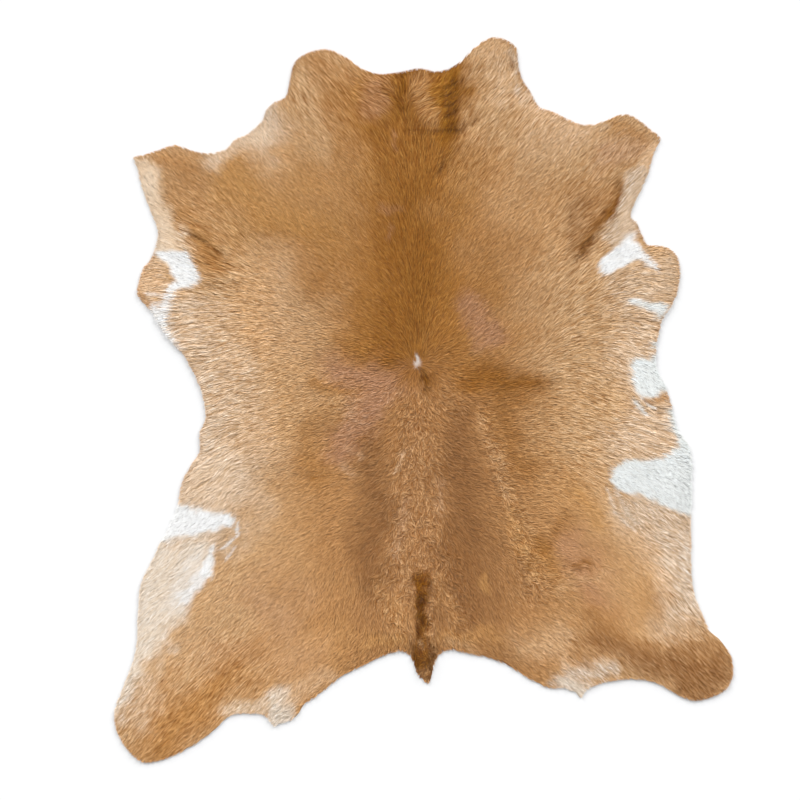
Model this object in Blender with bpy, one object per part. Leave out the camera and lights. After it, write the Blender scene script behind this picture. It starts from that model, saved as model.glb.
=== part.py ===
"""A whole cowhide rug, lying flat with its hair side up.

The hide is one piece: a tanned skin with its lying coat, cut at the neck, the four legs and the tail.
The head end points to +Y, the tail to -Y, and the underside lies in the plane Z = 0.
The origin is under the middle of the hide. Lengths are in metres, except where a name says cm or mm.
"""

import math
from collections import namedtuple

import bmesh
import bpy
from mathutils import Vector
from mathutils.geometry import delaunay_2d_cdt
from mathutils.noise import noise

# Real units that the tables below are written in
CM = 0.01
MM = 0.001

# Depths of the skin with its lying coat
EDGE_WALL = 0.0022  # the cut edge of the bare skin
EDGE_ROUND = 0.0050  # skin and coat at the first ring inside the edge
COAT = 0.0078  # skin and coat over the body
COAT_RISE = 0.034  # distance from the edge at which the coat is full

# Spacing of the points that carry the shape
EDGE_STEP = 0.017
FIRST_RING = 0.006
SECOND_RING = 0.020
GRID_STEP = 0.036
GRID_REACH = 1.10  # half the side of the square that the grid fills, which holds the whole hide
FOLD_STEP = 0.030
FIRST_RING_CLEAR = 0.0054  # a ring point this near to another stretch of edge is left out
SECOND_RING_CLEAR = 0.0175
GRID_CLEAR = 0.034
POINT_GAP = 0.017  # least distance between two inner points
CREST_STEP = 0.005  # spacing tried along the tail's crest, which is too narrow for the grid
CREST_GAP = 0.007

# Slow unevenness of the dried skin: size of the swells and their height
WIDE_SWELL = 0.27
WIDE_HEIGHT = 0.0009
NARROW_SWELL = 0.085
NARROW_HEIGHT = 0.0006
RAGGED_LENGTH = 0.030  # distance over which the hairy edge goes in and out

HAIR_COLOUR = (0.42, 0.23, 0.11, 1.0)
HAIR_ROUGHNESS = 0.62

# The cut edge, clockwise as seen from above, starting where the neck's left lobe leaves the shoulder.
# ragged_mm is how far hair breaks the line of the edge; points_cm are the turns of the edge.
Stretch = namedtuple("Stretch", "name ragged_mm points_cm")
EDGE = (
    Stretch("left neck lobe", 0.8, (
        (-40.1, 87.6), (-38.7, 92.6), (-37.2, 98.0), (-34.2, 100.2), (-28.3, 101.6), (-22.8, 99.5),
        (-17.0, 95.6),
    )),
    Stretch("neck edge", 0.8, (
        (-12.6, 94.4), (-6.4, 95.0), (-0.7, 96.0), (3.0, 95.0), (7.1, 95.8), (10.7, 98.1),
    )),
    Stretch("right neck lobe", 0.8, (
        (14.4, 102.0), (19.4, 105.0), (23.6, 104.4), (26.8, 102.0), (27.2, 98.5), (28.2, 93.6),
        (30.8, 89.2), (33.6, 84.6),
    )),
    Stretch("right shoulder", 1.2, (
        (36.6, 83.8), (39.3, 82.5), (42.8, 80.8), (45.5, 79.8), (50.2, 80.1), (54.7, 82.0),
    )),
    Stretch("right foreleg", 0.8, (
        (58.6, 82.7), (62.2, 81.1), (66.1, 77.9), (68.5, 75.9), (66.6, 71.2), (64.6, 64.3),
        (61.1, 57.0),
    )),
    Stretch("right armpit and flap", 2.0, (
        (59.9, 52.7), (61.6, 51.5), (62.7, 48.7), (64.8, 44.9), (69.6, 44.6), (73.0, 41.9),
        (74.1, 37.0), (73.7, 32.0), (72.3, 28.5),
    )),
    Stretch("right belly", 3.0, (
        (69.0, 23.2), (67.3, 15.2), (67.4, 9.1), (70.0, 3.7), (71.8, -2.0), (72.9, -7.3),
        (77.0, -14.4), (77.7, -21.4), (77.4, -33.3), (77.4, -45.2),
    )),
    Stretch("right thigh", 1.8, (
        (78.0, -55.1), (80.3, -61.0), (82.8, -66.4), (85.8, -69.0),
    )),
    Stretch("right hind leg", 0.8, (
        (88.4, -72.6), (89.7, -78.4), (87.8, -83.6), (83.0, -86.2), (78.4, -87.1), (73.8, -85.6),
        (67.1, -81.9), (58.9, -80.9), (50.4, -82.4), (47.0, -84.2),
    )),
    Stretch("right thigh point", 0.6, (
        (45.3, -86.7), (43.6, -84.8), (40.8, -83.5), (35.7, -83.5),
    )),
    Stretch("right rump", 1.2, (
        (30.8, -81.0), (22.1, -75.9), (13.2, -73.6), (7.2, -72.4),
    )),
    Stretch("tail", 1.6, (
        (4.3, -73.8), (3.0, -77.3), (2.5, -80.9), (1.2, -82.2), (-1.2, -80.5), (-2.3, -78.6),
        (-3.2, -75.6),
    )),
    Stretch("left rump", 1.2, (
        (-5.6, -72.8), (-11.4, -74.0), (-18.1, -77.2), (-24.3, -80.7), (-30.1, -85.3), (-34.3, -88.3),
        (-35.9, -90.9),
    )),
    Stretch("left thigh point", 0.6, (
        (-37.7, -92.6), (-41.2, -93.7), (-43.1, -94.9), (-44.9, -92.5), (-46.6, -91.2), (-50.4, -90.8),
    )),
    Stretch("left hind leg", 0.8, (
        (-55.8, -91.4), (-60.0, -95.5), (-67.8, -100.8), (-76.1, -104.4), (-81.4, -104.9),
        (-85.6, -101.6), (-88.9, -95.9), (-89.7, -91.0), (-88.6, -86.6),
    )),
    Stretch("left thigh", 1.8, (
        (-85.8, -80.0), (-83.4, -72.7), (-82.7, -61.6), (-81.9, -53.5), (-78.3, -45.5),
    )),
    Stretch("left belly", 3.0, (
        (-74.3, -37.4), (-71.5, -31.0), (-69.6, -23.2), (-66.6, -17.8), (-64.8, -15.1), (-64.8, -9.6),
        (-63.2, -6.2), (-64.1, 2.3), (-66.2, 7.2), (-69.5, 13.2), (-75.1, 19.2), (-79.3, 26.2),
    )),
    Stretch("left flap and armpit", 2.0, (
        (-82.9, 30.4), (-82.3, 35.2), (-81.0, 38.4), (-79.0, 41.0), (-77.4, 45.2), (-76.9, 48.4),
    )),
    Stretch("left foreleg", 0.8, (
        (-79.2, 54.9), (-81.8, 61.9), (-83.0, 67.2), (-84.1, 70.2), (-81.3, 70.9), (-77.0, 72.3),
        (-71.9, 73.8),
    )),
    Stretch("left shoulder", 1.2, (
        (-67.0, 72.2), (-63.0, 71.4), (-57.4, 72.5), (-54.4, 75.6), (-51.6, 76.6), (-49.4, 78.4),
        (-46.5, 81.1), (-45.7, 83.8), (-43.4, 86.1),
    )),
)

# Lasting folds and thick or thin places of the coat, each along a straight line from one end to the other.
# half_cm is half the width, and height_mm is how far it stands up, or goes in where it is negative.
Fold = namedtuple("Fold", "name x1_cm y1_cm x2_cm y2_cm half_cm height_mm")
FOLDS = (
    Fold("tail", 0.4, -52.0, 0.9, -80.0, 2.6, 8.0),
    Fold("tail root", -0.4, -42.0, 0.4, -60.0, 4.6, 2.4),
    Fold("spine behind the whorl", -1.7, 6.0, -0.6, -46.0, 4.4, 1.8),
    Fold("spine before the whorl", -1.9, 18.0, -0.6, 68.0, 3.8, 1.4),
    Fold("whorl", -1.9, 12.4, -1.9, 12.0, 2.4, -3.2),
    Fold("tuft under the whorl", -0.9, 9.6, 1.0, 4.6, 1.8, 2.6),
    Fold("left neck furrow", -6.9, 94.0, -7.4, 79.0, 2.2, -2.6),
    Fold("right neck furrow", 7.3, 94.6, 6.4, 65.0, 2.4, -2.6),
    Fold("middle neck fold", 0.6, 93.0, -0.4, 78.0, 3.0, 2.4),
    Fold("left neck fold", -13.6, 92.0, -14.1, 79.0, 3.4, 2.0),
    Fold("right neck fold", 14.0, 98.5, 12.6, 76.0, 3.6, 1.8),
    Fold("left shoulder crease", -70.7, 54.0, -60.5, 40.0, 2.4, -2.2),
    Fold("right shoulder crease", 54.6, 61.0, 48.2, 42.0, 2.4, -2.4),
    Fold("left foreleg rim", -79.0, 62.4, -73.6, 44.0, 2.6, 1.8),
    Fold("right foreleg rim", 62.2, 66.7, 56.9, 53.7, 2.6, 1.8),
    Fold("left flap fold", -79.0, 35.0, -72.0, 31.0, 2.4, 1.6),
    Fold("right flap fold", 70.8, 38.0, 63.0, 34.0, 2.6, 1.6),
    Fold("right flank frizz", 14.9, 0.0, 29.4, -29.0, 2.8, 1.4),
    Fold("right rump frizz", 29.4, -29.0, 34.8, -56.0, 2.8, 1.4),
    Fold("left hind leg", -79.4, -99.0, -50.4, -69.6, 6.0, 1.8),
    Fold("right hind leg", 84.0, -78.3, 48.2, -66.7, 5.4, 1.8),
)


def smooth_step(part):
    """0 below 0, 1 above 1 and a soft rise between them."""
    part = min(max(part, 0.0), 1.0)
    return part * part * (3.0 - 2.0 * part)


def curve_point(before, start, end, after, part):
    """A point of the smooth curve from start to end, which eases into its neighbours at both ends."""
    first = math.sqrt((start - before).length)
    span = math.sqrt((end - start).length)
    last = math.sqrt((after - end).length)
    middle = (end - start) / span
    leave = ((start - before) / first - (end - before) / (first + span) + middle) * span
    arrive = (middle - (after - start) / (span + last) + (after - end) / last) * span
    square = part * part
    cube = square * part
    return (
        (2 * cube - 3 * square + 1) * start
        + (cube - 2 * square + part) * leave
        + (3 * square - 2 * cube) * end
        + (cube - square) * arrive
    )


def edge_points():
    """The cut edge as points about EDGE_STEP apart, a little ragged with hair, and centred on the origin."""
    turns = [
        (Vector(point) * CM, stretch.ragged_mm * MM)
        for stretch in EDGE
        for point in stretch.points_cm
    ]
    count = len(turns)
    line = []
    for index in range(count):
        before, start, end, after = (turns[(index + shift) % count][0] for shift in (-1, 0, 1, 2))
        steps = max(2, round((end - start).length / EDGE_STEP))
        for step in range(steps):
            line.append((curve_point(before, start, end, after, step / steps), turns[index][1]))
    ragged = []
    for index, (point, amount) in enumerate(line):
        along = line[(index + 1) % len(line)][0] - line[index - 1][0]
        outward = Vector((-along.y, along.x)).normalized()
        place = Vector((point.x, point.y, 0.0)) / RAGGED_LENGTH
        ragged.append(point + outward * amount * noise(place))
    low = Vector((min(point.x for point in ragged), min(point.y for point in ragged)))
    high = Vector((max(point.x for point in ragged), max(point.y for point in ragged)))
    return [point - (low + high) / 2 for point in ragged]


def to_line(point, start, end):
    """Distance of a point from a straight line between two points."""
    along = end - start
    part = min(max((point - start).dot(along) / max(along.length_squared, 1e-12), 0.0), 1.0)
    return (point - start - along * part).length


def to_edge(point, edge):
    """Distance of a point from the cut edge."""
    return min(to_line(point, edge[index - 1], edge[index]) for index in range(len(edge)))


def inside(point, edge):
    """Whether a point lies within the cut edge."""
    found = False
    for index in range(len(edge)):
        a, b = edge[index - 1], edge[index]
        if (a.y > point.y) != (b.y > point.y):
            if point.x < (b.x - a.x) * (point.y - a.y) / (b.y - a.y) + a.x:
                found = not found
    return found


def ring_points(edge, inset, clear):
    """The edge moved inwards, without the points that would come too near another stretch of it."""
    ring = []
    for index, point in enumerate(edge):
        along = edge[(index + 1) % len(edge)] - edge[index - 1]
        inward = Vector((along.y, -along.x)).normalized()
        moved = point + inward * inset
        if inside(moved, edge) and to_edge(moved, edge) > clear:
            ring.append(moved)
    return ring


def fold_points():
    """Points along the crest and both feet of each fold, so that the mesh follows it."""
    points = []
    for fold in FOLDS:
        start = Vector((fold.x1_cm, fold.y1_cm)) * CM
        end = Vector((fold.x2_cm, fold.y2_cm)) * CM
        across = (end - start).orthogonal().normalized() * fold.half_cm * CM
        steps = max(1, round((end - start).length / FOLD_STEP))
        for step in range(steps + 1):
            middle = start.lerp(end, step / steps)
            points += [middle, middle + across, middle - across]
    return points


def tail_crest():
    """Close points along the crest of the tail."""
    tail = FOLDS[0]
    start = Vector((tail.x1_cm, tail.y1_cm)) * CM
    end = Vector((tail.x2_cm, tail.y2_cm)) * CM
    steps = round((end - start).length / CREST_STEP)
    return [start.lerp(end, step / steps) for step in range(steps + 1)]


def grid_points():
    """Points of a triangular grid over the whole hide."""
    row_step = GRID_STEP * math.sqrt(3) / 2
    rows = int(GRID_REACH / row_step)
    columns = int(GRID_REACH / GRID_STEP)
    return [
        Vector(((column + row % 2 / 2) * GRID_STEP, row * row_step))
        for row in range(-rows, rows + 1)
        for column in range(-columns, columns + 1)
    ]


def spread(points, kept, gap):
    """Adds each point to the kept ones if none of those is nearer than the gap."""
    cells = {}
    for point in kept:
        cells.setdefault((int(point.x // gap), int(point.y // gap)), []).append(point)
    for point in points:
        column, row = int(point.x // gap), int(point.y // gap)
        near = [
            other
            for x in (-1, 0, 1)
            for y in (-1, 0, 1)
            for other in cells.get((column + x, row + y), ())
        ]
        if all((point - other).length > gap for other in near):
            kept.append(point)
            cells.setdefault((column, row), []).append(point)
    return kept


def fold_height(point):
    """How much the folds raise or lower the coat at a point."""
    height = 0.0
    for fold in FOLDS:
        start = Vector((fold.x1_cm, fold.y1_cm)) * CM
        end = Vector((fold.x2_cm, fold.y2_cm)) * CM
        away = to_line(point, start, end) / (fold.half_cm * CM)
        height += fold.height_mm * MM * (1.0 - smooth_step(away / 1.5))
    return height


def coat_height(point, from_edge):
    """Height of the coat above the surface that the hide lies on."""
    full = smooth_step(from_edge / COAT_RISE)
    wide = noise(Vector((point.x, point.y, 0.4)) / WIDE_SWELL) * WIDE_HEIGHT
    narrow = noise(Vector((point.x, point.y, 0.2)) / NARROW_SWELL) * NARROW_HEIGHT
    return EDGE_ROUND + (COAT - EDGE_ROUND + fold_height(point) + wide + narrow) * full


def hide_mesh():
    """The closed mesh: the hair side over its points, the cut edge, and one flat underside."""
    edge = edge_points()
    rim_count = len(edge)
    inner = ring_points(edge, FIRST_RING, FIRST_RING_CLEAR)
    ring_count = len(inner)
    candidates = ring_points(edge, SECOND_RING, SECOND_RING_CLEAR)
    candidates += [
        point
        for point in fold_points() + grid_points()
        if inside(point, edge) and to_edge(point, edge) > GRID_CLEAR
    ]
    inner = spread(candidates, inner, POINT_GAP)
    inner = spread(tail_crest(), inner, CREST_GAP)
    loop = [(index, (index + 1) % rim_count) for index in range(rim_count)]
    flat, _, faces, _, _, _ = delaunay_2d_cdt(edge + inner, loop, [], 1, 1e-6)

    mesh = bpy.data.meshes.new("hide")
    shape = bmesh.new()
    verts = []
    for index, point in enumerate(flat):
        if index < rim_count:
            height = EDGE_WALL
        elif index < rim_count + ring_count:
            height = EDGE_ROUND
        else:
            height = coat_height(point, to_edge(point, edge))
        verts.append(shape.verts.new((point.x, point.y, height)))
    for face in faces:
        shape.faces.new([verts[index] for index in face])
    rim = [side for side in shape.edges if side.is_boundary]
    lowered = bmesh.ops.extrude_edge_only(shape, edges=rim)["geom"]
    for vert in lowered:
        if isinstance(vert, bmesh.types.BMVert):
            vert.co.z = 0.0
    bmesh.ops.contextual_create(shape, geom=[side for side in shape.edges if side.is_boundary])
    bmesh.ops.recalc_face_normals(shape, faces=shape.faces)
    shape.to_mesh(mesh)
    shape.free()
    return mesh


def hair_material():
    """The mid tan of the coat."""
    material = bpy.data.materials.new("cowhide hair")
    material.use_nodes = True
    shader = material.node_tree.nodes["Principled BSDF"]
    shader.inputs["Base Color"].default_value = HAIR_COLOUR
    shader.inputs["Roughness"].default_value = HAIR_ROUGHNESS
    shader.inputs["Metallic"].default_value = 0.0
    return material


def main():
    for thing in list(bpy.data.objects):
        bpy.data.objects.remove(thing)
    parts = bpy.data.collections.new("cowhide rug")
    bpy.context.scene.collection.children.link(parts)
    hide = bpy.data.objects.new("hide", hide_mesh())
    hide.data.materials.append(hair_material())
    hide.data.shade_smooth()
    hide.data.set_sharp_from_angle(angle=math.radians(40))
    parts.objects.link(hide)


main()
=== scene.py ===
"""The looks of a whole cowhide rug: the skin as a thin sheet, and its coat as locks of lying hair."""

from collections import namedtuple
from math import cos, radians, sin

import bmesh
import bpy
import numpy as np
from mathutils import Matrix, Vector
from mathutils.bvhtree import BVHTree


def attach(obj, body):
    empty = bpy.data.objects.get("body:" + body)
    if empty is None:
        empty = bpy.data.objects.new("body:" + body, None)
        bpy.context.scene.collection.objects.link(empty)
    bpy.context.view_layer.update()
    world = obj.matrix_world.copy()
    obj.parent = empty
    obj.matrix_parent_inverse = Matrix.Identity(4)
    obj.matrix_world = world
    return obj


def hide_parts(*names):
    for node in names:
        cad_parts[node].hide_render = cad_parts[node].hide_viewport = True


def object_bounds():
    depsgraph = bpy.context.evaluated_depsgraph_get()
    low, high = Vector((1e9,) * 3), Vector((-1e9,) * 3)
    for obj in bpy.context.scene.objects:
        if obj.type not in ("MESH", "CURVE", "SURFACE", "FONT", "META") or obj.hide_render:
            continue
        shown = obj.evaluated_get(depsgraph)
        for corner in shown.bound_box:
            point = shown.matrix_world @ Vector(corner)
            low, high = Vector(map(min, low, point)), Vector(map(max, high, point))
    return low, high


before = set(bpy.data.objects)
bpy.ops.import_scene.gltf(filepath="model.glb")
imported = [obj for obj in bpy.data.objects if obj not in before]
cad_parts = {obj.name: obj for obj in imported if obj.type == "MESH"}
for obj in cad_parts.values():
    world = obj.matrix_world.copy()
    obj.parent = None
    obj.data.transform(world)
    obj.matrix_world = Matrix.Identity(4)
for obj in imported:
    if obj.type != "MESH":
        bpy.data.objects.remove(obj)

cad_low, cad_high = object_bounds()

# The photograph looks straight down. Tables give places in its pixels, in columns whose names end in px.
PIXEL = 0.0029  # metres for one pixel of the photograph
ORIGIN_X_PX = 423.75  # the part's origin in the photograph
ORIGIN_Y_PX = 400.0
PHOTO_SIDE_PX = 800

# The skin, in metres
SKIN_INSET = 0.0035  # its edge lies this far inside the ends of the hair
INSET_BAND = 0.012  # and it draws in over this width
LEAST_SKIN = 0.0016
LEATHER_UP = 0.3  # faces that look up less than this show leather
WELD = 1e-6  # points closer than this are one
FLAT = 1e-5  # what lies lower belongs to the flat underside
EDGE_STEP = 0.004  # the way to the cut edge is measured over this step
TINY = 1e-9  # keeps a division clear of zero
TINY_PX = 1e-6

# The locks of the coat, in metres
PILE = 0.0032  # depth of the visible hair over the dense undercoat
LOCK_SPACING = 0.0034
LOCK_LENGTH = 0.026
LOCK_WIDTH = 0.0020
MIDDLE = 0.45  # the crest's place along the lock, as a share
ROOT_CLEAR = 0.0045  # no root lies closer to the cut edge
ROOT_BACK = 0.001  # a root reaches this far back
ROOT_SUNK = 0.0006  # and this far into the undercoat
FINE_STRAND = 0.0017  # width of the finest strands that lie side by side
COARSE_STRAND = 0.0062
GATHER = 0.0016  # how far the ends of the locks draw together
GATHER_REACH = 0.003  # and how far to either side a lock looks for the tuft that it joins
TIP_SCATTER = 0.0011
OVERHANG = 0.0028  # how far a lock may reach past the cut edge
OVERHANG_ROUNDS = 16
EDGE_ZONE = 0.002  # tips closer to the cut edge hang over it
EDGE_HAIR = (0.0010, 0.0070)  # at heights between these
LEAST_BASE = 0.0010  # no crest starts lower
FLOOR_CLEAR = 0.0004
FEATHER = 0.0045  # how far the hair of one patch reaches into the next
COLOUR_STEP = 0.0025  # the coat's colours are worked out on a grid this fine
LOCK_SEED = 7

# A lock's length by its zone, as shares: the plain coat, and what each kind of zone adds or takes away
PLAIN_LOCK = 0.78
CRISP_LOCK = 0.22
LONG_LOCK = 0.80
FRIZZ_LOCK = 0.34
TRIM = 0.64
LENGTHS = (0.75, 1.2)  # neighbours differ between these
WIDTHS = (0.7, 1.25)

# A lock's points are its root, left side, crest, right side and tip
LOCK_FACES = np.array([[0, 2, 1], [0, 3, 2], [1, 2, 4], [2, 3, 4]])
LOCK_MAP = ((2.0, 0.0), (0.0, 0.5), (2.0, 0.5), (4.0, 0.5), (2.0, 1.2))  # across and along its fine strands
LOCK_OFFSET = 0.37  # from one lock's fine strands to the next
# Painted light and shade at a lock's points: darkest at the root, which lies under the other locks, a little
# darker on the sides than on the crest, and lightest at the tip
ALONG_LOCK = (0.60, 0.94, 1.02, 0.94, 1.10)  # their shades
# A darker strand is also a deeper red: powers of its shade for red, green and blue
DEPTH = np.array([0.75, 1.10, 1.60])
SHADE_LIMITS = (0.30, 1.8)
# The strands differ less where the hair is paler than this, until the span beyond it
PALE_FROM = 0.52
PALE_SPAN = 0.30

# Light: two wide lamps beyond the neck, to the left and right, and the white room as the fill
KEY = 3.45
KEY_SPREAD = 30.0  # degrees
KEY_RISE = 20.0  # degrees above the floor
KEY_TURNS = (52.0, 128.0)  # degrees from the right side round to the left
KEY_AWAY = 4.0  # metres
FILL = 0.42
WHITE = (1.0, 1.0, 1.0, 1.0)
FLOOR_HALF = 30.0  # metres
FLOOR_COLOUR = (0.866, 0.868, 0.872, 1.0)
LENS = 85.0  # millimetres
SENSOR = 36.0

COAT_NAMES = ("coat_rump", "coat_loins", "coat_flanks", "coat_shoulders", "coat_neck")

# Colours of the suede, linear
SUEDE_COLOURS = ((0.60, 0.52, 0.43, 1.0), (0.78, 0.71, 0.62, 1.0))
# Colours of the coat as they look in daylight, in sRGB steps
TONES = {
    "white": (246, 246, 245),
    "milk": (231, 234, 232),
    "cream": (230, 213, 193),
    "wheat": (236, 208, 176),
    "pale": (224, 196, 166),
    "sand": (216, 188, 158),
    "beige": (226, 187, 146),
    "honey": (224, 172, 116),
    "light": (210, 167, 120),
    "gold": (205, 152, 90),
    "dusty": (204, 160, 119),
    "tan": (194, 142, 88),
    "rosy": (190, 140, 104),
    "amber": (176, 114, 20),
    "ochre": (178, 120, 54),
    "clay": (178, 128, 80),
    "umber": (152, 105, 62),
    "brown": (157, 100, 36),
    "dark": (126, 73, 5),
    "black": (88, 48, 2),
}

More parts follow.
